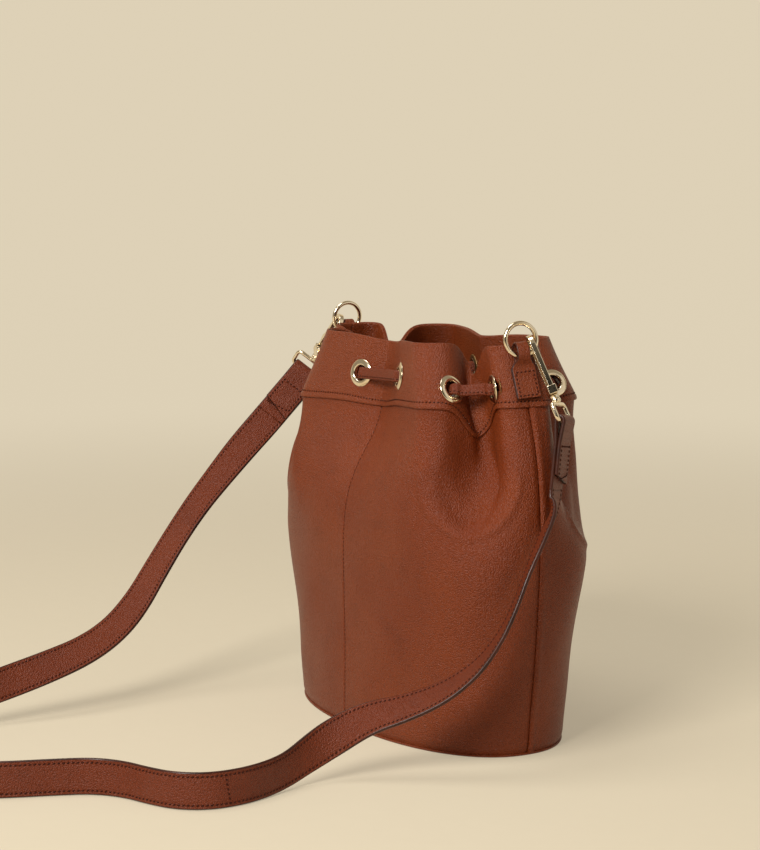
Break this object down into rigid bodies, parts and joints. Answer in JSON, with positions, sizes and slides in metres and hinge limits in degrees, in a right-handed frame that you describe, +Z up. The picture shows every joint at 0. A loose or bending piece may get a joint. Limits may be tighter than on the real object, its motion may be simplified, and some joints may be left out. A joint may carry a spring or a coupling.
{
  "type": "drawstring bucket bag",
  "caption": "Soft leather bucket bag with a drawstring mouth, metal eyelets and a detachable shoulder strap on snap hooks.",
  "frame": {"origin": "middle of the base, on the surface that the bag stands on", "axes": "+Z up, +X towards the near strap end, -Y is the front face of the bag"},
  "size_m": [0.3424, 0.4925, 0.2936],
  "materials": {
    "body_leather": "pebbled tan-brown leather, satin",
    "strap_leather": "smooth brown leather with painted edges",
    "cord_leather": "folded and stitched brown leather",
    "lining": "dark brown cotton",
    "board": "stiff base board",
    "gold_metal": "pale gold plated, polished"
  },
  "bodies": {
    "bag": {"front_panel": "body_leather", "back_panel": "body_leather", "base_leather": "body_leather", "base_board": "board", "lining_base": "lining", "lining_front": "lining", "lining_back": "lining", "collar_front": "body_leather", "collar_back": "body_leather", "facing_front": "body_leather", "facing_back": "body_leather", "eyelet_flanges": "gold_metal", "eyelet_washers": "gold_metal", "drawstring": "cord_leather", "shoulder_strap": "strap_leather", "near_tab": "body_leather", "near_bail": "gold_metal", "near_strap_fold": "strap_leather", "far_tab": "body_leather", "far_bail": "gold_metal", "far_strap_fold": "strap_leather"},
    "near_ring": {"near_ring": "gold_metal"},
    "near_hook": {"near_hook_body": "gold_metal", "near_gate_pin": "gold_metal"},
    "near_gate": {"near_hook_gate": "gold_metal"},
    "far_ring": {"far_ring": "gold_metal"},
    "far_hook": {"far_hook_body": "gold_metal", "far_gate_pin": "gold_metal"},
    "far_gate": {"far_hook_gate": "gold_metal"}
  },
  "joints": [
    {"name": "near_ring_swing", "type": "hinge", "parent": "bag", "child": "near_ring", "pos_m": [0.12231, -0.00128, 0.2703], "axis": [0.1794, 0.981, 0.0736], "range_deg": [-4, 4]},
    {"name": "near_hook_swivel", "type": "hinge", "parent": "bag", "child": "near_hook", "pos_m": [0.12423, 0.00531, 0.27698], "axis": [0.4339, 0.1848, -0.8818], "range_deg": [-6, 6]},
    {"name": "near_gate_hinge", "type": "hinge", "parent": "near_hook", "child": "near_gate", "pos_m": [0.13352, 0.01432, 0.24602], "axis": [0.3643, 0.8592, 0.3593], "range_deg": [0, 14], "stiffness_Nm_per_rad": 0.01},
    {"name": "far_ring_swing", "type": "hinge", "parent": "bag", "child": "far_ring", "pos_m": [-0.12199, 0, 0.26959], "axis": [0, -1, 0], "range_deg": [-4, 4]},
    {"name": "far_hook_swivel", "type": "hinge", "parent": "bag", "child": "far_hook", "pos_m": [-0.12216, -0.00749, 0.27598], "axis": [-0.6687, -0.1347, -0.7312], "range_deg": [-6, 6]},
    {"name": "far_gate_hinge", "type": "hinge", "parent": "far_hook", "child": "far_gate", "pos_m": [-0.14865, -0.00988, 0.25551], "axis": [0.1653, 0.9319, -0.3229], "range_deg": [0, 14], "stiffness_Nm_per_rad": 0.01}
  ]
}
